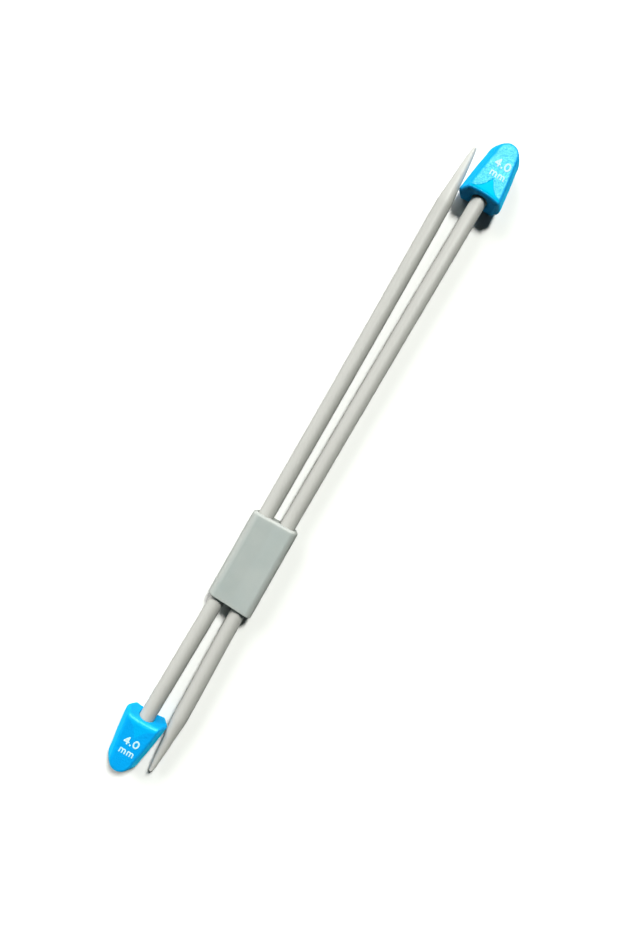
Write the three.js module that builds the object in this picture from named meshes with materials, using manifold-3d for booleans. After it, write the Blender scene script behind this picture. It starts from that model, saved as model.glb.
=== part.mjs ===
// A pair of short single-pointed plastic knitting needles, 4.0 mm thick, stored
// point to cap, side by side, in a flat two-channel holder sleeve that slips
// over both shafts.  Each needle is a tapered round shaft with a flat,
// bullet-shaped stopper cap pushed over its blunt end.
//
// Units are millimetres, +Z is up.  The pair lies flat: the origin is on the
// surface under the middle of the pair, +X runs along the needles.
// Needle A has its cap at -X and lies on the +Y side, needle B the other way round.

import * as THREE from 'three';
import { mergeVertices } from 'three/addons/utils/BufferGeometryUtils.js';
import Module from 'manifold-3d';

// ---------------------------------------------------------------- dimensions

// needle shaft
const SHAFT_D = 4.0;             // knitting size of the needle
const AXIS_Z = 3.3;              // both shafts lie at half the cap thickness
const TIP_X = 87.9;              // distance of each point from the middle of the pair
const TAPER = [                  // [distance back from the point, radius]
  [0.0, 0.0], [0.06, 0.22], [0.22, 0.4], [0.5, 0.53], [2.4, 0.8], [4.6, 1.05],
  [6.8, 1.25], [9.0, 1.41], [11.2, 1.58], [13.2, 1.78], [14.6, 1.91], [16.0, 2.0],
];
const BUTT_X = 85.8;             // the blunt end, inside the cap
const SHAFT_SHIFT = -0.85;       // shaft A stands this much deeper in its cap, shaft B less deep
const BUTT_CHAMFER = 0.4;
const SHAFT_SIDES = 24;
const SHAFT_STEP = 9.0;          // spacing of the sections along the shaft

// the light bow that the caps press into each shaft: half the distance between
// the two axes is smallest in the holder and grows towards both ends
const BOW_HALF_GAP = 2.99;
const BOW_X = -30.0;
const BOW_LONG = 5.35e-5;        // parabola over the long free stretch, 1/mm
const BOW_SHORT = 0.0160;        // final slope of the short stretch
const BOW_SHORT_BLEND = 8.0;

// stopper cap
const CAP_T = 6.6;               // thickness
const CAP_END_X = 76.1;          // plane of the two ears at the open end
const CAP_L = 16.0;              // ears to the middle of the dome
const CAP_HALF_W = 5.55;         // at the ears, on the parting line
const CAP_DOME_X = 11.0;         // where the sides run into the round end
const CAP_DOME_W = 4.36;         // half width there
const CAP_DOME_POWER = 2.25;     // a little fuller than an ellipse
const CAP_SIDE_BULGE = 0.08;
const CAP_BEVEL = 1.5;           // how far the flat faces are set in from the parting line
const EAR_R = 1.15;              // corner radius of the ears
const END_HOLLOW = 0.85;         // depth of the inward curve between the ears
const BORE_R = 2.08;
const BORE_END = 11.2;           // depth of the bore from the ears
const MOUTH_R = 2.45;            // wider mouth of the bore
const MOUTH_DEPTH = 1.9;         // from the ears

// holder sleeve
const SLEEVE_X0 = -40.7;         // lower end, middle
const SLEEVE_X1 = -17.1;         // upper end, middle
const SLEEVE_SKEW = 0.055;       // both ends are cut a little out of square
const SLEEVE_HALF_W = 6.15;
const SLEEVE_Z0 = 0.15;
const SLEEVE_Z1 = 6.3;
const SLEEVE_CORNER = 1.1;
const CHANNEL_Y = [0.72, 5.27];  // inner and outer wall of each channel
const CHANNEL_Z = [1.08, 5.37];
const CHANNEL_CORNER = 0.8;

// colours
const SHAFT_GREY = 0xd2d2ca;
const CAP_BLUE = 0x09a7e6;
const SLEEVE_GREY = 0xb1bdb9;

// ---------------------------------------------------------------- booleans

const wasm = await Module();
wasm.setup();

function toSolid(geometry) {
  let g = geometry.index ? geometry.toNonIndexed() : geometry.clone();
  for (const name of Object.keys(g.attributes)) if (name !== 'position') g.deleteAttribute(name);
  g = mergeVertices(g, 1e-4);
  const index = g.index.array;
  const keep = [];
  for (let i = 0; i < index.length; i += 3) {
    const [a, b, c] = [index[i], index[i + 1], index[i + 2]];
    if (a !== b && b !== c && c !== a) keep.push(a, b, c);
  }
  return new wasm.Manifold(new wasm.Mesh({
    numProp: 3,
    vertProperties: Float32Array.from(g.attributes.position.array),
    triVerts: Uint32Array.from(keep),
  }));
}

function toGeometry(solid) {
  const mesh = solid.getMesh();
  const g = new THREE.BufferGeometry();
  g.setAttribute('position', new THREE.BufferAttribute(Float32Array.from(mesh.vertProperties), 3));
  g.setIndex(new THREE.BufferAttribute(Uint32Array.from(mesh.triVerts), 1));
  const flat = g.toNonIndexed();
  flat.computeVertexNormals();
  return flat;
}

// ---------------------------------------------------------------- bow

// half the distance between the two shaft axes at the place x
function halfGap(x) {
  const s = x - BOW_X;
  if (s >= 0) return BOW_HALF_GAP + BOW_LONG * s * s;
  return BOW_HALF_GAP + BOW_SHORT * (Math.hypot(s, BOW_SHORT_BLEND) - BOW_SHORT_BLEND);
}

// ---------------------------------------------------------------- shaft

// side is +1 for needle A (on +Y, point at +X) and -1 for needle B
function shaftGeometry(side) {
  const profile = TAPER.map(([back, r]) => new THREE.Vector2(r, TIP_X - back));
  const full = TIP_X - TAPER[TAPER.length - 1][0];
  const last = -BUTT_X + BUTT_CHAMFER;
  const count = Math.round((full - last) / SHAFT_STEP);
  for (let i = 1; i <= count; i += 1) {
    profile.push(new THREE.Vector2(SHAFT_D / 2, full + (last - full) * i / count));
  }
  profile.push(new THREE.Vector2(SHAFT_D / 2 - BUTT_CHAMFER, -BUTT_X));
  profile.push(new THREE.Vector2(0, -BUTT_X));
  profile.reverse();
  const g = new THREE.LatheGeometry(profile, SHAFT_SIDES);
  g.rotateZ(-Math.PI / 2);                 // the lathe's axis comes to lie along +X
  if (side < 0) g.rotateZ(Math.PI);        // needle B points the other way
  const p = g.attributes.position;
  for (let i = 0; i < p.count; i += 1) {
    const x = p.getX(i) + SHAFT_SHIFT;
    p.setXYZ(i, x, p.getY(i) + side * halfGap(x), p.getZ(i) + AXIS_Z);
  }
  return toGeometry(toSolid(g));
}

// ---------------------------------------------------------------- cap

// outline of the cap on its parting line: the ears at x = 0, the dome at +x
function capOutline() {
  const upper = [];
  const ext = -3.0;                        // runs on past the ears, cut off below
  const slope = (CAP_DOME_W - CAP_HALF_W) / (CAP_DOME_X - EAR_R);
  upper.push([ext, CAP_HALF_W + slope * (ext - EAR_R)]);
  for (let i = 0; i <= 8; i += 1) {
    const q = i / 8;
    upper.push([
      EAR_R + (CAP_DOME_X - EAR_R) * q,
      CAP_HALF_W + (CAP_DOME_W - CAP_HALF_W) * q + CAP_SIDE_BULGE * 4 * q * (1 - q),
    ]);
  }
  const N = 10;
  const k = 2 / CAP_DOME_POWER;
  for (let i = 1; i < N; i += 1) {
    const a = (Math.PI / 2) * (1 - i / N);
    upper.push([
      CAP_DOME_X + (CAP_L - CAP_DOME_X) * Math.cos(a) ** k,
      CAP_DOME_W * Math.sin(a) ** k,
    ]);
  }
  const points = upper.map(([x, y]) => new THREE.Vector2(x, -y));
  points.push(new THREE.Vector2(CAP_L, 0));
  for (const [x, y] of upper.slice().reverse()) points.push(new THREE.Vector2(x, y));
  return new THREE.Shape(points);
}

// everything on the open side of the curved end face, with the ears rounded
function endTool() {
  const top = [];
  const out = CAP_HALF_W + 1.2;
  top.push([EAR_R, out]);
  for (let i = 0; i <= 4; i += 1) {
    const a = (i / 4) * Math.PI / 2;
    top.push([EAR_R * (1 - Math.sin(a)), CAP_HALF_W + 0.02 - EAR_R * (1 - Math.cos(a))]);
  }
  const w = CAP_HALF_W - EAR_R;
  for (let i = 1; i <= 7; i += 1) {
    const y = w * (1 - i / 7);
    top.push([END_HOLLOW * (1 - (y / w) ** 2), y]);
  }
  const pts = [new THREE.Vector2(-6, out), ...top.map(([x, y]) => new THREE.Vector2(x, y))];
  for (const [x, y] of top.slice(0, -1).reverse()) pts.push(new THREE.Vector2(x, -y));
  pts.push(new THREE.Vector2(-6, -out));
  const g = new THREE.ExtrudeGeometry(new THREE.Shape(pts), { depth: CAP_T + 4, bevelEnabled: false });
  g.translate(0, 0, -(CAP_T + 4) / 2);
  return toSolid(g);
}

function boreTool(radius, from, to) {
  const g = new THREE.CylinderGeometry(radius, radius, to - from, SHAFT_SIDES);
  g.rotateZ(-Math.PI / 2);
  g.translate((from + to) / 2, 0, 0);
  return toSolid(g);
}

function capGeometry() {
  // two flat faces set in by the bevel, widest on the parting line halfway up
  const body = new THREE.ExtrudeGeometry(capOutline(), {
    depth: 0.02,
    bevelEnabled: true,
    bevelSegments: 1,
    bevelThickness: CAP_T / 2 - 0.01,
    bevelSize: CAP_BEVEL,
    bevelOffset: -CAP_BEVEL,
  });
  body.translate(0, 0, -0.01);
  const solid = toSolid(body)
    .subtract(endTool())
    .subtract(boreTool(MOUTH_R, -2, MOUTH_DEPTH))
    .subtract(boreTool(BORE_R, -2, BORE_END));
  return toGeometry(solid);
}

// ---------------------------------------------------------------- sleeve

function roundedRect(path, y0, y1, z0, z1, r, n) {
  const corners = [[y1 - r, z0 + r, -90], [y1 - r, z1 - r, 0], [y0 + r, z1 - r, 90], [y0 + r, z0 + r, 180]];
  const pts = [];
  for (const [cy, cz, a0] of corners) {
    for (let i = 0; i <= n; i += 1) {
      const a = THREE.MathUtils.degToRad(a0 + 90 * i / n);
      pts.push(new THREE.Vector2(cy + r * Math.cos(a), cz + r * Math.sin(a)));
    }
  }
  path.setFromPoints(pts);
  return path;
}

function sleeveGeometry() {
  const shape = roundedRect(new THREE.Shape(), -SLEEVE_HALF_W, SLEEVE_HALF_W, SLEEVE_Z0, SLEEVE_Z1, SLEEVE_CORNER, 5);
  const [ci, co] = CHANNEL_Y;
  const [cb, ct] = CHANNEL_Z;
  shape.holes.push(roundedRect(new THREE.Path(), ci, co, cb, ct, CHANNEL_CORNER, 4));
  shape.holes.push(roundedRect(new THREE.Path(), -co, -ci, cb, ct, CHANNEL_CORNER, 4));
  const g = new THREE.ExtrudeGeometry(shape, { depth: SLEEVE_X1 - SLEEVE_X0, bevelEnabled: false });
  // drawn in (y, z) and pushed along x
  const p = g.attributes.position;
  for (let i = 0; i < p.count; i += 1) {
    const [y, z, along] = [p.getX(i), p.getY(i), p.getZ(i)];
    p.setXYZ(i, SLEEVE_X0 + along + SLEEVE_SKEW * y, y, z);
  }
  return toGeometry(toSolid(g));
}

// ---------------------------------------------------------------- assembly

function part(name, geometry, color, roughness) {
  const material = new THREE.MeshStandardMaterial({ color, roughness, metalness: 0 });
  const mesh = new THREE.Mesh(geometry, material);
  mesh.name = name;
  return mesh;
}

// a cap sits square on its own shaft, so it turns with the end of the bow
function placeCap(mesh, side) {
  const x = -side * CAP_END_X;
  const slope = (halfGap(x - 6 * side) - halfGap(x)) / 6;   // outwards, towards the dome
  const holder = new THREE.Group();
  holder.position.set(x, side * halfGap(x), AXIS_Z);
  const dx = -side;                                          // towards the dome
  const dy = side * slope;
  holder.rotation.z = Math.atan2(dy, dx);
  holder.add(mesh);
  return holder;
}

const pair = new THREE.Group();
pair.name = 'needle_pair';

const cap = capGeometry();
pair.add(part('shaft_a', shaftGeometry(1), SHAFT_GREY, 0.45));
pair.add(placeCap(part('cap_a', cap, CAP_BLUE, 0.5), 1));
pair.add(part('shaft_b', shaftGeometry(-1), SHAFT_GREY, 0.45));
pair.add(placeCap(part('cap_b', cap.clone(), CAP_BLUE, 0.5), -1));
pair.add(part('holder_sleeve', sleeveGeometry(), SLEEVE_GREY, 0.7));

export default pair;
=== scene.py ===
import math

import bpy
import numpy as np
from mathutils import Matrix, Vector


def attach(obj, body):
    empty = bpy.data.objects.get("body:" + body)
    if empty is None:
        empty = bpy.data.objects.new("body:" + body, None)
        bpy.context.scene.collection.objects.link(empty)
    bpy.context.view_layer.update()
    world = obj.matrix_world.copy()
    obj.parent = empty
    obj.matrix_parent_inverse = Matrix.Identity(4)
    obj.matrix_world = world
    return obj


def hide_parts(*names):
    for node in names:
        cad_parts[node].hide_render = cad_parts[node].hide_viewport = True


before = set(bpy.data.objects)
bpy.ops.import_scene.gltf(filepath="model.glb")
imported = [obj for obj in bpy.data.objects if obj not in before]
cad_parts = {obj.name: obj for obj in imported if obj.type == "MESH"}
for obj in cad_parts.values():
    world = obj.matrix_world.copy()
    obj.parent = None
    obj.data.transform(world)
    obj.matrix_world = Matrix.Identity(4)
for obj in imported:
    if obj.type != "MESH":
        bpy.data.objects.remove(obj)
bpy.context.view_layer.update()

MM = 0.001

# ------------------------------------------------------------------ sizes, in millimetres, as in the frame
AXIS_Z = 3.3
TIP_X, BUTT_X, SHAFT_SHIFT = 87.9, 85.8, -0.85
SHAFT_R = 2.0
TAPER = [(0, 0), (0.06, 0.22), (0.22, 0.4), (0.5, 0.53), (2.4, 0.8), (4.6, 1.05), (6.8, 1.25), (9.0, 1.41),
         (11.2, 1.58), (13.2, 1.78), (14.6, 1.91), (16.0, 2.0)]
BOW_HALF_GAP, BOW_X, BOW_LONG, BOW_SHORT, BOW_SHORT_BLEND = 2.99, -30.0, 5.35e-5, 0.0160, 8.0
LEAN_A = 0.02                                        # needle A's capped end lies this much nearer to needle B
TIP_CLEAR = {1: 0.07, -1: 0.26}                      # each point is pushed outward this much by the ear of the cap beside it
TIP_IN = {1: 0.0, -1: 0.45}                          # needle B's point ends this much sooner
CAP_END_X, CAP_L, CAP_T, CAP_HALF_W = 76.1, 16.0, 6.6, 5.66
CAP_DOME_X, CAP_DOME_W, CAP_DOME_POWER, CAP_SIDE_BULGE, CAP_BEVEL, EAR_R = 11.0, 4.27, 2.08, 0.08, 1.6, 1.3
SLEEVE_X0, SLEEVE_X1 = -40.6, -16.65
SLEEVE_SKEW_0, SLEEVE_SKEW_1, SLEEVE_OFF = 0.06, -0.02, 0.08
SLEEVE_HALF_W, SLEEVE_Z0, SLEEVE_Z1 = 6.28, 0.15, 6.3
CHANNEL_Y, CHANNEL_Z = (0.76, 5.23), (1.14, 5.36)


def half_gap(x):
    """Half the distance between the two bowed shaft axes at x."""
    s = np.asarray(x, float) - BOW_X
    return np.where(s >= 0, BOW_HALF_GAP + BOW_LONG * s * s,
                    BOW_HALF_GAP + BOW_SHORT * (np.hypot(s, BOW_SHORT_BLEND) - BOW_SHORT_BLEND))


# ------------------------------------------------------------------ mesh helpers
def make_object(name, verts_mm, faces, matrix=None):
    mesh = bpy.data.meshes.new(name)
    pts = np.asarray(verts_mm, float)
    if matrix is not None:
        pts = pts @ np.asarray(matrix)[:3, :3].T + np.asarray(matrix)[:3, 3]
    mesh.from_pydata((pts * MM).tolist(), [], faces if isinstance(faces, list) else faces.tolist())
    mesh.validate()
    mesh.shade_smooth()
    mesh.update()
    obj = bpy.data.objects.new(name, mesh)
    bpy.context.scene.collection.objects.link(obj)
    return obj


def add_attribute(obj, name, values):
    a = obj.data.attributes.new(name, "FLOAT", "POINT")
    a.data.foreach_set("value", np.asarray(values, np.float32))


def iso_surface(field, lo, hi, step, relax=3):
    """Closed quad surface where field is 0 (field is positive inside), with every vertex pulled onto that surface."""
    step = np.asarray(step, float)
    n = [int(math.ceil((hi[i] - lo[i]) / step[i])) + 1 for i in range(3)]
    ax = [lo[i] + step[i] * np.arange(n[i]) for i in range(3)]
    grid = np.meshgrid(*ax, indexing="ij")
    v = field(grid[0].ravel(), grid[1].ravel(), grid[2].ravel()).reshape(n)
    v = np.where(np.abs(v) < 1e-9, 1e-9, v)
    inside = v > 0
    m = [k - 1 for k in n]

    def corner(i, j, k, a=v):
        return a[i:i + m[0], j:j + m[1], k:k + m[2]]

    total = np.zeros(m, np.int8)
    for i in (0, 1):
        for j in (0, 1):
            for k in (0, 1):
                total += corner(i, j, k, inside).astype(np.int8)
    active = (total > 0) & (total < 8)
    index = -np.ones(m, int)
    index[active] = np.arange(int(active.sum()))
    acc = np.zeros((int(active.sum()), 3))
    cnt = np.zeros(int(active.sum()))
    base = np.argwhere(active).astype(float)
    for axis in range(3):
        for p in (0, 1):
            for q in (0, 1):
                a = [0, 0, 0]
                others = [d for d in range(3) if d != axis]
                a[others[0]], a[others[1]] = p, q
                b = list(a)
                b[axis] = 1
                va, vb = corner(*a)[active], corner(*b)[active]
                cross = (va > 0) != (vb > 0)
                t = np.where(cross, va / np.where(cross, va - vb, 1.0), 0.0)
                point = base + np.array(a, float)
                point[:, axis] += t
                acc[cross] += point[cross]
                cnt[cross] += 1
    pts = np.array([ax[i][0] for i in range(3)]) + acc / cnt[:, None] * step

    quads = []
    for axis in range(3):
        o1, o2 = [(1, 2), (2, 0), (0, 1)][axis]
        sl_a, sl_b = [slice(None)] * 3, [slice(None)] * 3
        sl_a[axis], sl_b[axis] = slice(0, n[axis] - 1), slice(1, n[axis])
        ia, ib = inside[tuple(sl_a)], inside[tuple(sl_b)]
        change = np.argwhere(ia != ib)
        ok = (change[:, o1] > 0) & (change[:, o2] > 0) & (change[:, o1] < n[o1] - 1) & (change[:, o2] < n[o2] - 1)
        change = change[ok]
        d1, d2 = np.zeros(3, int), np.zeros(3, int)
        d1[o1], d2[o2] = 1, 1
        c = [change - d1 - d2, change - d2, change, change - d1]
        q = np.stack([index[tuple(x.T)] for x in c], 1)
        flip = ~ia[tuple(change.T)]
        q[flip] = q[flip][:, ::-1]
        quads.append(q)
    quads = np.concatenate(quads)

    def gradient(p, e=0.004):
        g = np.empty_like(p)
        for d in range(3):
            a, b = p.copy(), p.copy()
            a[:, d] += e
            b[:, d] -= e
            g[:, d] = (field(*a.T) - field(*b.T)) / (2 * e)
        return g

    def pull(p, times):
        limit = float(step.min())
        for _ in range(times):
            g = gradient(p)
            move = field(*p.T)[:, None] * g / np.maximum((g * g).sum(1), 1e-6)[:, None]
            size = np.linalg.norm(move, axis=1)
            move *= np.minimum(1.0, limit / np.maximum(size, 1e-12))[:, None]
            p = p - move
        return p

    pts = pull(pts, 3)
    a = np.concatenate([quads[:, i] for i in range(4)])
    b = np.concatenate([quads[:, (i + 1) % 4] for i in range(4)])
    for _ in range(relax):
        s, c = np.zeros_like(pts), np.zeros(len(pts))
        np.add.at(s, a, pts[b])
        np.add.at(c, a, 1)
        np.add.at(s, b, pts[a])
        np.add.at(c, b, 1)
        pts = pull(pts * 0.5 + s / c[:, None] * 0.5, 1)
    pts = pull(pts, 1)
    return pts, quads


def round_and(a, b, r):
    """Both a and b (positive inside), with the edge between them rounded."""
    a, b = -a, -b
    return -(np.minimum(-r, np.maximum(a, b)) + np.hypot(np.maximum(r + a, 0), np.maximum(r + b, 0)))


def round_or(a, b, r):
    return -round_and(-a, -b, r)


def smooth(e0, e1, x):
    t = np.clip((x - e0) / (e1 - e0), 0, 1)
    return t * t * (3 - 2 * t)


# ------------------------------------------------------------------ shafts
def fine_taper():
    """The point's profile, (distance from the tip, radius), smooth through the measured radii."""
    d = np.array([p[0] for p in TAPER[3:]] + [18.0, 20.0])
    r = np.array([p[1] for p in TAPER[3:]] + [2.0, 2.0])
    h = np.diff(d)
    sl = np.diff(r) / h
    m = np.zeros(len(d))
    m[1:-1] = np.where(sl[1:] * sl[:-1] > 0, 2 * sl[1:] * sl[:-1] / np.maximum(sl[1:] + sl[:-1], 1e-9), 0)
    m[0] = sl[0]
    q = np.arange(0.55, 17.0, 0.3)
    k = np.clip(np.searchsorted(d, q) - 1, 0, len(d) - 2)
    t = (q - d[k]) / h[k]
    val = ((2 * t**3 - 3 * t**2 + 1) * r[k] + (t**3 - 2 * t**2 + t) * h[k] * m[k]
           + (-2 * t**3 + 3 * t**2) * r[k + 1] + (t**3 - t**2) * h[k] * m[k + 1])
    nose_r = 0.53                                    # the blunt rounded nose
    ang = np.radians([0, 12, 24, 36, 48, 60, 70, 78, 84])
    nose = [(0.5 * (1 - math.cos(x)), nose_r * math.sin(x)) for x in ang]
    nose = [(a, b) for a, b in nose if a < 0.5]
    return nose + [(float(a), float(min(b, SHAFT_R))) for a, b in zip(q, val)]


def build_shaft(name, side):
    """side +1: needle A, point towards +X, on the +Y side; side -1: needle B."""
    tip = side * (TIP_X - TIP_IN[side]) + SHAFT_SHIFT
    butt = -side * BUTT_X + SHAFT_SHIFT
    length = abs(tip - butt)
    prof = fine_taper()
    last = prof[-1][0]
    body = list(np.arange(last + 1.0, length - 1.2, 1.25))
    prof += [(float(d), SHAFT_R) for d in body]
    prof += [(length - 0.8, SHAFT_R), (length - 0.42, SHAFT_R), (length - 0.28, SHAFT_R - 0.02),
             (length - 0.1, SHAFT_R - 0.15), (length - 0.02, SHAFT_R - 0.32), (length, SHAFT_R - 0.45)]
    sides = 72
    verts, faces = [], []
    rings = [p for p in prof if p[1] > 0]
    ang = np.linspace(0, 2 * math.pi, sides, endpoint=False)

    def centre(d):
        x = tip - side * d
        lean = LEAN_A * float(smooth(-36, -56, x)) if side > 0 else 0
        push = TIP_CLEAR[side] * float(smooth(42, 74, side * x))
        return x, side * (float(half_gap(x)) + push) - lean, AXIS_Z

    def slope(x):
        e = 0.5
        return side * float(half_gap(x + e) - half_gap(x - e)) / (2 * e)

    x0, y0, z0 = centre(0.0)
    verts.append((x0, y0, z0))
    for d, r in rings:
        x, y, z = centre(d)
        s = slope(x)
        k = 1 / math.hypot(1, s)
        # a very slight, long waviness of the moulded rod, far below what changes its size
        w = 1 + 0.0008 * math.sin(d * 0.31 + side) + 0.0006 * math.sin(d * 0.83)
        for a in ang:
            u, v = r * w * math.cos(a), r * w * math.sin(a)
            verts.append((x - s * k * u, y + k * u, z + v))
    first = 1
    for i in range(sides):
        faces.append((0, first + i, first + (i + 1) % sides))
    for j in range(len(rings) - 1):
        a, b = first + j * sides, first + (j + 1) * sides
        for i in range(sides):
            k = (i + 1) % sides
            faces.append((a + i, b + i, b + k, a + k))
    end = first + (len(rings) - 1) * sides
    xe, ye, ze = centre(length)
    verts.append((xe, ye, ze))
    for i in range(sides):
        faces.append((end + (i + 1) % sides, end + i, len(verts) - 1))
    if side < 0:
        faces = [tuple(reversed(f)) for f in faces]
    o = make_object(name, verts, faces)
    along = [0.0] + [d for d, _ in rings for _ in range(sides)] + [length]
    add_attribute(o, "from_tip", along)
    return o


# ------------------------------------------------------------------ caps
END_HOLLOW = 0.42
MOUTH_R, BORE_R, BORE_END = 2.2, 2.04, 11.0
TOP_FILLET, END_FILLET = 0.5, 1.2


def cap_outline():
    pts = []
    for x in np.linspace(-4.0, CAP_DOME_X, 260, endpoint=False):
        q = (x - EAR_R) / (CAP_DOME_X - EAR_R)
        w = CAP_HALF_W + (CAP_DOME_W - CAP_HALF_W) * q
        if q > 0:
            w += CAP_SIDE_BULGE * 4 * q * (1 - q)
        pts.append((x, w))
    k = 2 / CAP_DOME_POWER
    for a in np.radians(np.linspace(90, 0, 500)):
        pts.append((CAP_DOME_X + (CAP_L - CAP_DOME_X) * abs(math.cos(a)) ** k, CAP_DOME_W * abs(math.sin(a)) ** k))
    pts = np.array(pts)
    # even spacing, then a light smoothing of the join between side and dome
    seg = np.r_[0, np.cumsum(np.linalg.norm(np.diff(pts, axis=0), axis=1))]
    t = np.linspace(0, seg[-1], 700)
    pts = np.stack([np.interp(t, seg, pts[:, 0]), np.interp(t, seg, pts[:, 1])], 1)
    full = np.concatenate([pts, (pts * [1, -1])[::-1][1:]])
    for _ in range(60):
        mid = 0.25 * (full[:-2] + 2 * full[1:-1] + full[2:])
        full[1:-1] = mid
    return full


class PlanDistance:
    """Distance inside the cap's plan outline, tabulated on a fine grid and read with cubic interpolation."""

    def __init__(self):
        line = cap_outline()
        self.x0, self.y0, self.h = -2.0, -0.2, 0.05
        nx, ny = int(19.5 / self.h), int(6.8 / self.h)
        gx = self.x0 + self.h * np.arange(nx)
        gy = self.y0 + self.h * np.arange(ny)
        px, py = [g.ravel() for g in np.meshgrid(gx, gy, indexing="ij")]
        a, b = line[:-1], line[1:]
        ab = b - a
        l2 = (ab * ab).sum(1)
        out = np.empty(len(px))
        for s in range(0, len(px), 4000):
            x, y = px[s:s + 4000, None], py[s:s + 4000, None]
            t = np.clip(((x - a[:, 0]) * ab[:, 0] + (y - a[:, 1]) * ab[:, 1]) / l2, 0, 1)
            dx, dy = x - (a[:, 0] + t * ab[:, 0]), y - (a[:, 1] + t * ab[:, 1])
            d2 = dx * dx + dy * dy
            k = d2.argmin(1)
            r = np.arange(len(k))
            d = np.sqrt(d2[r, k])
            cross = ab[k, 0] * (py[s:s + 4000] - a[k, 1]) - ab[k, 1] * (px[s:s + 4000] - a[k, 0])
            out[s:s + 4000] = np.where(cross < 0, d, -d)
        self.t = out.reshape(nx, ny)

    def __call__(self, x, y):
        u = np.clip((x - self.x0) / self.h, 1.001, self.t.shape[0] - 2.001)
        v = np.clip((np.abs(y) - self.y0) / self.h, 1.001, self.t.shape[1] - 2.001)
        i, j = u.astype(int), v.astype(int)
        fu, fv = u - i, v - j

        def w(f):
            return [-0.5 * f + f * f - 0.5 * f**3, 1 - 2.5 * f * f + 1.5 * f**3,
                    0.5 * f + 2 * f * f - 1.5 * f**3, -0.5 * f * f + 0.5 * f**3]
        wu, wv = w(fu), w(fv)
        r = np.zeros_like(u)
        for p in range(4):
            for q in range(4):
                r += wu[p] * wv[q] * self.t[i - 1 + p, j - 1 + q]
        return r


plan = PlanDistance()
BAND = np.array([CAP_T / 2, CAP_BEVEL]) / math.hypot(CAP_T / 2, CAP_BEVEL)


def cap_field(x, y, z):
    half = CAP_T / 2
    zz = np.sqrt(z * z + 0.42**2) - 0.42 + 0.06       # the parting line is a soft edge
    side = plan(x, y) * BAND[0] - zz * BAND[1] + 0.05
    top = half - np.abs(z)
    body = round_and(side, top, TOP_FILLET)
    w = CAP_HALF_W - EAR_R
    face = x - END_HOLLOW * np.clip(1 - (y / w) ** 2, -0.6, 1)
    body = round_and(body, face, END_FILLET)
    radius = BORE_R + (MOUTH_R - BORE_R) * smooth(1.5, 0.2, x)
    bore = np.hypot(y, z) - radius
    bore = -round_and(-bore, BORE_END - x, 0.4)
    return round_and(body, bore, 0.16)


def cap_matrix(side):
    x = -side * CAP_END_X
    slope = float(half_gap(x - 6 * side) - half_gap(x)) / 6
    yaw = math.atan2(side * slope, -side)
    c, s = math.cos(yaw), math.sin(yaw)
    y = side * float(half_gap(x)) - (LEAN_A if side > 0 else 0)
    return np.array([[c, -s, 0, x], [s, c, 0, y], [0, 0, 1, AXIS_Z], [0, 0, 0, 1.0]])


cap_pts, cap_quads = iso_surface(cap_field, (-0.7, -6.3, -3.9), (16.8, 6.3, 3.9), (0.16, 0.16, 0.15))


def build_cap(name, side, reach_out, v_strength):
    """reach_out: how far the open end stands beyond the nominal one; the dome is drawn in a little. v_strength: how
    strongly the smooth V shows, both its smoothness and its painted sheen, a lighter cyan base colour.
    """
    pts = cap_pts.copy()
    pts[:, 0] -= reach_out * np.clip(1 - pts[:, 0] / 11, 0, 1.1) + 0.5 * smooth(5, 15, pts[:, 0])
    o = make_object(name, pts, cap_quads, cap_matrix(side))
    x, y, z = cap_pts.T
    inset = plan(x, y)
    rho = np.hypot(y, z)
    # how much of an edge each point lies on: the border of the flat faces, the parting line, the ears and the mouth.
    # These edges are painted lighter, a painted highlight where the rims catch the light
    painted_edge_highlight = np.maximum.reduce([
        np.exp(-((inset - CAP_BEVEL) / 0.35) ** 2) * (np.abs(z) > 2.2),
        0.8 * np.exp(-(z / 0.22) ** 2) * (inset < 0.8),
        np.exp(-((x - 0.45) / 0.4) ** 2) * (np.abs(z) > 2.2),
        0.8 * np.exp(-((rho - MOUTH_R) / 0.2) ** 2) * (x < 0.8),
    ])
    add_attribute(o, "painted_edge_highlight", painted_edge_highlight)
    add_attribute(o, "from_end", x)
    # the flat faces are left smooth in a flared V that widens to the open end; the rest has the moulded grain. The V is
    # also painted a lighter cyan, a painted sheen, full on cap B and faint on cap A
    reach = 0.9 + 3.95 * np.exp(-(np.abs(y) / 1.75) ** 1.15)
    add_attribute(o, "smooth_v_and_painted_sheen", v_strength * smooth(-0.28, 0.28, reach - x) * smooth(0.4, 0.8, x) * smooth(3.14, 3.24, np.abs(z)))
    # inside the bore the cap is painted darker the deeper it goes: painted shade
    add_attribute(o, "bore", np.where((rho < MOUTH_R + 0.02) & (x < BORE_END + 0.1), smooth(0.1, 1.6, x), 0.0))
    return o


# ------------------------------------------------------------------ the size figure printed on the caps
def stroke(px, py, pts, r, closed=False):
    """Distance inside a round-ended stroke through pts."""
    best = np.full(px.shape, -1e9)
    seq = list(zip(pts[:-1], pts[1:])) + ([(pts[-1], pts[0])] if closed else [])
    for (ax_, ay), (bx, by) in seq:
        dx, dy = bx - ax_, by - ay
        l2 = max(dx * dx + dy * dy, 1e-12)
        t = np.clip(((px - ax_) * dx + (py - ay) * dy) / l2, 0, 1)
        best = np.maximum(best, r - np.hypot(px - (ax_ + t * dx), py - (ay + t * dy)))
    return best


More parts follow.
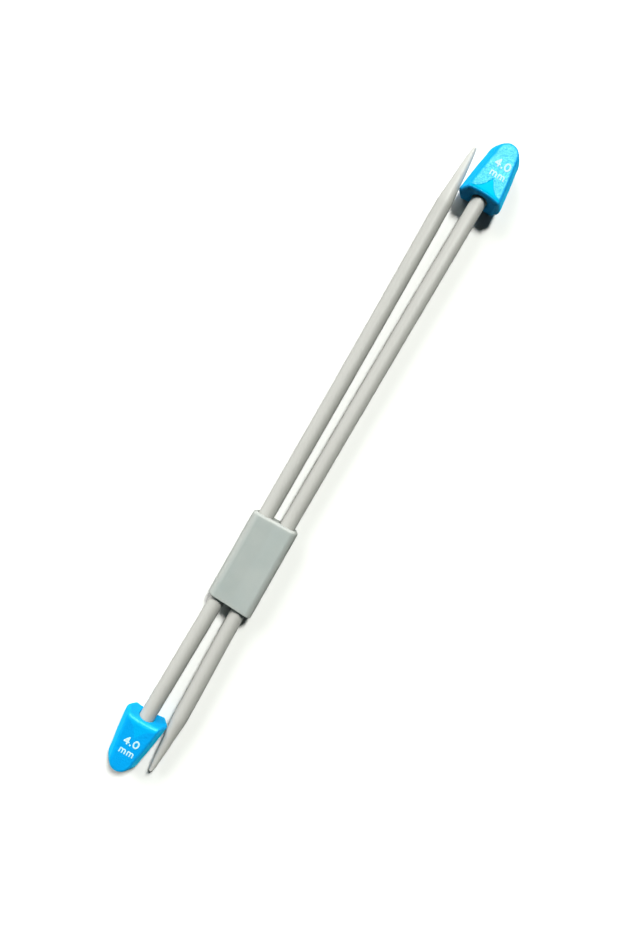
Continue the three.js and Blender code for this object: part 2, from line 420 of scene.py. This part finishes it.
def figure_field(u, v):
    """Plain figures 4.0 over mm. u to the right, v up, in mm, centred."""
    r = 0.21
    glyphs = []
    base, top = 0.30 + r, 0.30 + 2.12 - r            # first line, 2.1 mm high
    four_x = -1.34
    glyphs.append(stroke(u, v, [(four_x + 0.28, top), (four_x - 0.60, base + 0.52), (four_x + 0.62, base + 0.52)], r))
    glyphs.append(stroke(u, v, [(four_x + 0.28, top), (four_x + 0.28, base)], r))
    glyphs.append(stroke(u, v, [(-0.14, base + 0.02), (-0.14, base + 0.03)], r * 1.12))
    ring = [(1.19 + 0.62 * math.cos(a), (top + base) / 2 + (top - base) / 2 * math.sin(a))
            for a in np.linspace(0, 2 * math.pi, 28, endpoint=False)]
    glyphs.append(stroke(u, v, ring, r * 1.02, closed=True))
    rm = 0.165
    b2, t2 = -2.18 + rm, -2.18 + 1.36 - rm           # second line, 1.4 mm high
    for mx in (-1.06, 1.06):
        glyphs.append(stroke(u, v, [(mx - 0.72, b2), (mx - 0.72, t2)], rm))
        for k in (0, 1):
            cx = mx - 0.72 + 0.36 + 0.72 * k
            arc = [(cx - 0.36 * math.cos(a), t2 - 0.36 + 0.36 * math.sin(a)) for a in np.linspace(0, math.pi, 9)]
            glyphs.append(stroke(u, v, arc + [(cx + 0.36, b2)], rm))
    return np.maximum.reduce(glyphs)


def build_figure(name, side, centre_x, centre_y, up):
    """up +1: the figure's top is towards the dome; -1: towards the open end. Local x of the cap runs from ears to dome."""
    def field(x, y, z):
        # local cap axes: x to the dome, y to the left of it when seen from above
        v, u = (x - centre_x) * up, -(y - centre_y) * up
        flat = figure_field(u, v)
        slab = 0.022 - np.abs(z - CAP_T / 2)
        return round_and(flat, slab, 0.01)
    pts, quads = iso_surface(field, (centre_x - 3.1, centre_y - 2.7, CAP_T / 2 - 0.045), (centre_x + 3.1, centre_y + 2.7, CAP_T / 2 + 0.045),
                             (0.055, 0.055, 0.018), relax=1)
    return make_object(name, pts, quads, cap_matrix(side))


# ------------------------------------------------------------------ sleeve
def sleeve_field(x, y, z):
    mid = (SLEEVE_Z0 + SLEEVE_Z1) / 2
    half_h = (SLEEVE_Z1 - SLEEVE_Z0) / 2
    zz = z - mid
    # sides are barrelled, top and bottom sag a little between the needles
    width = SLEEVE_HALF_W - 1.0 * np.abs(zz / half_h) ** 2.5
    side = (width - np.abs(y + SLEEVE_OFF - 0.009 * (x + 28.6))) * 0.9
    sag = 0.05 * np.exp(-(y / 1.1) ** 2) + 0.11 * (1 - np.minimum(np.abs(y / 5.2), 1) ** 2)
    top = half_h - np.abs(zz) - sag
    upper = SLEEVE_X1 - (x - SLEEVE_SKEW_1 * y)
    lower = (x - SLEEVE_SKEW_0 * y) - SLEEVE_X0
    body = round_and(round_and(side, top, 0.9), upper, 0.75)
    body = round_and(body, lower, 0.2)
    cy, cz = (CHANNEL_Y[0] + CHANNEL_Y[1]) / 2, (CHANNEL_Z[0] + CHANNEL_Z[1]) / 2
    hy, hz = (CHANNEL_Y[1] - CHANNEL_Y[0]) / 2, (CHANNEL_Z[1] - CHANNEL_Z[0]) / 2
    a = round_and(hy - np.abs(np.abs(y) - cy), hz - np.abs(z - cz), 2.0)
    return round_and(body, -a, 0.1)


def build_sleeve():
    pts, quads = iso_surface(sleeve_field, (SLEEVE_X0 - 1.0, -6.8, -0.35), (SLEEVE_X1 + 1.0, 6.8, 6.8),
                             (0.26, 0.19, 0.17))
    o = make_object("holder_sleeve_soft", pts, quads)
    x, y, z = pts.T
    from_0, from_1 = x - SLEEVE_SKEW_0 * y - SLEEVE_X0, SLEEVE_X1 - (x - SLEEVE_SKEW_1 * y)
    # the two ends and the side corners are painted lighter: a painted highlight where the rims catch the light
    ends = np.maximum(np.exp(-(from_0 / 0.5) ** 2), np.exp(-(from_1 / 0.8) ** 2))
    corner = smooth(4.3, 5.9, np.abs(y))
    add_attribute(o, "painted_edge_highlight", np.maximum(ends, corner))
    # inside the channels the sleeve is painted darker the deeper it goes: painted shade
    cy, cz = (CHANNEL_Y[0] + CHANNEL_Y[1]) / 2, (CHANNEL_Z[0] + CHANNEL_Z[1]) / 2
    ins = (np.abs(np.abs(y) - cy) < 2.4) & (np.abs(z - cz) < 2.25)
    depth = np.minimum(from_0, from_1)
    add_attribute(o, "bore", np.where(ins, smooth(0.0, 1.5, depth), 0.0))
    return o


# ------------------------------------------------------------------ materials
class Nodes:
    """A small helper that adds nodes and links in one line."""

    def __init__(self, name):
        self.mat = bpy.data.materials.new(name)
        self.mat.use_nodes = True
        self.tree = self.mat.node_tree
        self.tree.nodes.clear()
        self.out = self.tree.nodes.new("ShaderNodeOutputMaterial")
        self.bsdf = self.tree.nodes.new("ShaderNodeBsdfPrincipled")
        self.link(self.bsdf.outputs[0], self.out.inputs[0])
        self.pos = self.tree.nodes.new("ShaderNodeTexCoord").outputs["Object"]

    def link(self, a, b):
        self.tree.links.new(a, b)

    def put(self, value, socket):
        if hasattr(value, "is_output"):
            self.link(value, socket)
        else:
            socket.default_value = value

    def noise(self, scale, detail=3.0, rough=0.55, stretch=(1, 1, 1), distortion=0.0):
        m = self.tree.nodes.new("ShaderNodeMapping")
        m.inputs["Scale"].default_value = stretch
        self.link(self.pos, m.inputs["Vector"])
        n = self.tree.nodes.new("ShaderNodeTexNoise")
        n.inputs["Scale"].default_value = scale
        n.inputs["Detail"].default_value = detail
        n.inputs["Roughness"].default_value = rough
        n.inputs["Distortion"].default_value = distortion
        self.link(m.outputs[0], n.inputs["Vector"])
        return n.outputs["Fac"]

    def cells(self, scale, stretch=(1, 1, 1)):
        m = self.tree.nodes.new("ShaderNodeMapping")
        m.inputs["Scale"].default_value = stretch
        self.link(self.pos, m.inputs["Vector"])
        n = self.tree.nodes.new("ShaderNodeTexVoronoi")
        n.feature = "SMOOTH_F1"
        n.inputs["Scale"].default_value = scale
        self.link(m.outputs[0], n.inputs["Vector"])
        return n.outputs["Distance"]

    def attr(self, name):
        a = self.tree.nodes.new("ShaderNodeAttribute")
        a.attribute_name = name
        return a.outputs["Fac"]

    def math(self, op, a, b=0.5, clamp=False):
        n = self.tree.nodes.new("ShaderNodeMath")
        n.operation = op
        n.use_clamp = clamp
        self.put(a, n.inputs[0])
        self.put(b, n.inputs[1])
        return n.outputs[0]

    def span(self, x, a, b, c, d, smooth_=False):
        n = self.tree.nodes.new("ShaderNodeMapRange")
        n.interpolation_type = "SMOOTHSTEP" if smooth_ else "LINEAR"
        n.clamp = True
        self.put(x, n.inputs[0])
        for i, v in enumerate((a, b, c, d)):
            n.inputs[1 + i].default_value = v
        return n.outputs[0]

    def mix(self, f, a, b, blend="MIX"):
        n = self.tree.nodes.new("ShaderNodeMix")
        n.data_type = "RGBA"
        n.blend_type = blend
        self.put(f, n.inputs[0])
        for s, v in ((n.inputs[6], a), (n.inputs[7], b)):
            self.put(v if hasattr(v, "is_output") else (*v, 1.0), s)
        return n.outputs[2]

    def bump(self, height, strength, distance, normal=None):
        n = self.tree.nodes.new("ShaderNodeBump")
        n.inputs["Strength"].default_value = strength
        n.inputs["Distance"].default_value = distance
        self.link(height, n.inputs["Height"])
        if normal is not None:
            self.link(normal, n.inputs["Normal"])
        return n.outputs[0]

    def set(self, **k):
        for name, v in k.items():
            s = self.bsdf.inputs[name.replace("_", " ")]
            self.put((*v, 1.0) if isinstance(v, tuple) and len(v) == 3 and s.type == "RGBA" else v, s)


def shaft_material():
    m = Nodes("shaft_plastic")
    flow = m.noise(60, 4, 0.6, (0.12, 1, 1))             # long streaks of the moulding flow
    cloud = m.noise(220, 3, 0.5)
    fine = m.noise(3800, 2, 0.5, (0.6, 1, 1))
    c = m.mix(m.span(flow, 0.35, 0.65, 0, 1), (0.342, 0.341, 0.328), (0.370, 0.368, 0.355))
    c = m.mix(m.span(cloud, 0.3, 0.75, 0, 0.35), c, (0.324, 0.323, 0.311))
    # the points are painted lighter: painted light, standing in for light that their tapers don't get from the lamps
    tip = m.span(m.attr("from_tip"), 0.0, 18.0, 0.85, 0.0, True)
    c = m.mix(tip, c, (0.432, 0.430, 0.414))
    rough = m.math("ADD", m.span(fine, 0.3, 0.7, 0.50, 0.60), m.span(cloud, 0.3, 0.7, -0.03, 0.04))
    m.set(Base_Color=c, Roughness=rough, IOR=1.49)
    h = m.math("ADD", m.math("MULTIPLY", fine, 0.25), m.math("MULTIPLY", flow, 1.0))
    m.set(Normal=m.bump(h, 0.35, 0.00004))
    return m.mat


def cap_material():
    m = Nodes("cap_plastic")
    grain = m.noise(2500, 2, 0.6)
    spark = m.cells(2600)
    cloud = m.noise(260, 3, 0.55)
    c = m.mix(m.span(cloud, 0.3, 0.7, 0, 1), (0.000, 0.248, 0.593), (0.000, 0.273, 0.640))
    c = m.mix(m.span(grain, 0.35, 0.65, 0.0, 0.22), c, (0.000, 0.223, 0.546))
    # painted highlight: the edges are painted a lighter cyan
    c = m.mix(m.math("MULTIPLY", m.attr("painted_edge_highlight"), 0.16), c, (0.001, 0.312, 0.655))
    # painted shade: the bore is painted near black, darker further in
    c = m.mix(m.math("MULTIPLY", m.attr("bore"), 0.85), c, (0.0, 0.05, 0.11))
    v = m.attr("smooth_v_and_painted_sheen")
    # painted sheen: the V is painted a lighter cyan
    c = m.mix(m.math("MULTIPLY", v, 0.75), c, (0.0, 0.515, 0.74))
    rough = m.mix(v, m.span(grain, 0.3, 0.7, 0.40, 0.54), (0.045, 0.045, 0.045))
    m.set(Base_Color=c, Roughness=rough, IOR=1.5)
    m.bsdf.inputs["Specular IOR Level"].default_value = 1.0
    m.bsdf.inputs["Specular Tint"].default_value = (0.38, 1.0, 0.8, 1.0)
    m.bsdf.inputs["Sheen Weight"].default_value = 0.5
    m.bsdf.inputs["Sheen Roughness"].default_value = 0.5
    m.bsdf.inputs["Sheen Tint"].default_value = (0.0, 0.75, 1.0, 1.0)
    h = m.math("ADD", m.math("MULTIPLY", grain, 1.0), m.math("MULTIPLY", spark, 0.6))
    h = m.math("MULTIPLY", h, m.span(v, 0.0, 1.0, 1.0, 0.02))
    m.set(Normal=m.bump(h, 0.8, 0.0001))
    return m.mat


def print_material():
    m = Nodes("print_ink")
    fine = m.noise(2500, 3, 0.6)
    c = m.mix(m.span(fine, 0.35, 0.7, 0, 1), (0.430, 0.590, 0.620), (0.350, 0.545, 0.590))
    m.set(Base_Color=c, Roughness=m.span(fine, 0.3, 0.7, 0.55, 0.7))
    m.bsdf.inputs["Specular IOR Level"].default_value = 0.2
    m.set(Normal=m.bump(fine, 0.3, 0.00002))
    return m.mat


def sleeve_material():
    m = Nodes("sleeve_silicone")
    cloud = m.noise(170, 4, 0.6)
    flow = m.noise(90, 3, 0.5, (0.25, 1, 1))
    fine = m.noise(2400, 3, 0.55)
    c = m.mix(m.span(cloud, 0.3, 0.72, 0, 1), (0.280, 0.309, 0.303), (0.305, 0.327, 0.319))
    c = m.mix(m.span(flow, 0.35, 0.68, 0, 0.5), c, (0.283, 0.317, 0.319))
    # painted highlight: the edges are painted lighter
    c = m.mix(m.math("MULTIPLY", m.attr("painted_edge_highlight"), 0.6), c, (0.326, 0.329, 0.316))
    # painted shade: the channels are painted dark
    c = m.mix(m.math("MULTIPLY", m.attr("bore"), 0.7), c, (0.10, 0.115, 0.11))
    m.set(Base_Color=c, Roughness=m.span(fine, 0.3, 0.7, 0.42, 0.58), IOR=1.41)
    m.bsdf.inputs["Subsurface Weight"].default_value = 0.25
    m.bsdf.inputs["Subsurface Radius"].default_value = (1.0, 1.0, 0.9)
    m.bsdf.inputs["Subsurface Scale"].default_value = 0.0008
    h = m.math("ADD", m.math("MULTIPLY", fine, 0.35), m.math("MULTIPLY", cloud, 1.0))
    m.set(Normal=m.bump(h, 0.4, 0.00006))
    return m.mat


def floor_material():
    m = Nodes("studio_floor")
    n = m.noise(9, 2, 0.5)
    c = m.mix(m.span(n, 0.3, 0.7, 0, 1), (0.715, 0.715, 0.709), (0.735, 0.735, 0.729))
    m.set(Base_Color=c, Roughness=0.85)
    m.bsdf.inputs["Specular IOR Level"].default_value = 0.15
    return m.mat


# ------------------------------------------------------------------ pieces on their bodies
mat_shaft, mat_cap, mat_print, mat_sleeve = shaft_material(), cap_material(), print_material(), sleeve_material()


def finish_piece(o, mat, body, slot, *nodes):
    o.data.materials.clear()
    o.data.materials.append(mat)
    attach(o, body)
    if nodes:
        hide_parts(*nodes)
    return o


finish_piece(build_shaft("needle_a_shaft", 1), mat_shaft, "needle_a", "shaft", "shaft_a")
finish_piece(build_shaft("needle_b_shaft", -1), mat_shaft, "needle_b", "shaft", "shaft_b")
# the last argument sets the smooth V and its painted sheen: faint on cap A, full on cap B
finish_piece(build_cap("needle_a_cap", 1, 0.42, 0.25), mat_cap, "needle_a", "cap", "cap_a")
finish_piece(build_cap("needle_b_cap", -1, 0.05, 1.0), mat_cap, "needle_b", "cap", "cap_b")
finish_piece(build_figure("needle_a_size_figure", 1, 7.2, 0.1, -1), mat_print, "needle_a", "cap")
finish_piece(build_figure("needle_b_size_figure", -1, 7.4, -0.43, 1), mat_print, "needle_b", "cap")
finish_piece(build_sleeve(), mat_sleeve, "holder", "sleeve", "holder_sleeve")

# ------------------------------------------------------------------ floor, light and camera
fl = make_object("studio_floor", [(-3000, -3000, 0), (3000, -3000, 0), (3000, 3000, 0), (-3000, 3000, 0)], [(0, 1, 2, 3)])
fl.location.z = -0.00002
fl.data.materials.append(floor_material())
fl.visible_glossy = False


def build_backdrop():
    """A pale dome round the stage. It only shows behind the object, and gives and takes no light."""
    rings, sides, r = 12, 64, 2000
    verts = [(r * math.cos(b) * math.cos(a), r * math.cos(b) * math.sin(a), r * math.sin(b) - 1)
             for b in np.linspace(0, math.pi / 2, rings, endpoint=False) for a in np.linspace(0, 2 * math.pi, sides, endpoint=False)]
    verts.append((0, 0, r - 1))
    faces = [(j * sides + i, j * sides + (i + 1) % sides, (j + 1) * sides + (i + 1) % sides, (j + 1) * sides + i)
             for j in range(rings - 1) for i in range(sides)]
    top = (rings - 1) * sides
    faces += [(top + i, top + (i + 1) % sides, len(verts) - 1) for i in range(sides)]
    o = make_object("studio_backdrop", verts, faces)
    mat = bpy.data.materials.new("studio_backdrop")
    mat.use_nodes = True
    mat.node_tree.nodes.clear()
    glow, out = mat.node_tree.nodes.new("ShaderNodeEmission"), mat.node_tree.nodes.new("ShaderNodeOutputMaterial")
    glow.inputs["Color"].default_value = (0.80, 0.81, 0.80, 1.0)
    mat.node_tree.links.new(glow.outputs[0], out.inputs[0])
    o.data.materials.append(mat)
    o.visible_diffuse = o.visible_glossy = o.visible_transmission = o.visible_shadow = False


build_backdrop()


def sun(name, azimuth, elevation, strength, angle, colour):
    """azimuth: the side the light comes from, 0 is +X and 90 is +Y."""
    data = bpy.data.lights.new(name, "SUN")
    data.energy = strength
    data.angle = math.radians(angle)
    data.color = colour
    o = bpy.data.objects.new(name, data)
    a, e = math.radians(azimuth), math.radians(elevation)
    toward = Vector((math.cos(a) * math.cos(e), math.sin(a) * math.cos(e), math.sin(e)))
    o.rotation_mode = "QUATERNION"
    o.rotation_quaternion = toward.to_track_quat("Z", "Y")
    bpy.context.scene.collection.objects.link(o)
    return o


key = bpy.data.lights.new("key_light", "AREA")
key.shape = "ELLIPSE"
key.size, key.size_y = 0.33, 0.364                   # tilted away a little, so it looks round from the object
key.energy = 17.3
key.use_nodes = True                                 # the same strength at every distance, as from a much larger lamp further off
falloff = key.node_tree.nodes.new("ShaderNodeLightFalloff")
falloff.inputs["Strength"].default_value = 1.0
key.node_tree.links.new(falloff.outputs["Constant"], key.node_tree.nodes["Emission"].inputs["Strength"])
key.color = (0.975, 1.0, 0.95)
key_obj = bpy.data.objects.new("key_light", key)
key_obj.location = (0.9645, 0.0, 1.1177)
tilt = math.radians(-24.2)
facing, across = Vector((-math.cos(tilt), 0.0, math.sin(tilt))), Vector((0.0, 1.0, 0.0))
key_obj.rotation_mode = "QUATERNION"
key_obj.rotation_quaternion = Matrix((across, (-facing).cross(across), -facing)).transposed().to_quaternion()
bpy.context.scene.collection.objects.link(key_obj)
fill = sun("fill_light", 58, 26.0, 3.7, 42, (0.985, 1.0, 0.975))
fill.visible_glossy = False

world = bpy.data.worlds.new("studio_world")
world.use_nodes = True
bg = world.node_tree.nodes["Background"]
bg.inputs[0].default_value = (1.0, 1.0, 1.0, 1.0)
bg.inputs[1].default_value = 0.02
bpy.context.scene.world = world

view = bpy.context.scene.view_settings
view.view_transform = "Standard"
view.look = "None"
view.exposure = 0.0
view.gamma = 1.0
# a camera's usual contrast: the darks are held down, and the lights are left alone
view.use_curve_mapping = True
for channel, points in ((3, ((0.05, 0.035), (0.12, 0.098), (0.30, 0.272), (0.45, 0.438), (0.60, 0.60))),
                        (0, ((0.03, 0.027), (0.07, 0.062), (0.15, 0.142), (0.30, 0.30)))):
    for point in points:
        view.curve_mapping.curves[channel].points.new(*point)
view.curve_mapping.update()

cam_data = bpy.data.cameras.new("camera")
cam_data.lens = 20.3
cam_data.sensor_width = 36.0
cam_data.sensor_fit = "AUTO"
cam_data.clip_start, cam_data.clip_end = 0.01, 20.0
cam = bpy.data.objects.new("camera", cam_data)
right, up, forward = Vector((0.50123, -0.86517, 0.01602)), Vector((0.86483, 0.50024, -0.04283)), Vector((-0.02904, -0.03533, -0.99895))
rot = Matrix((right, up, -forward)).transposed()
cam.rotation_mode = "QUATERNION"
cam.rotation_quaternion = rot.to_quaternion()
cam.location = (3.375 * MM, 4.287 * MM, 134.17 * MM)
bpy.context.scene.collection.objects.link(cam)
bpy.context.scene.camera = cam
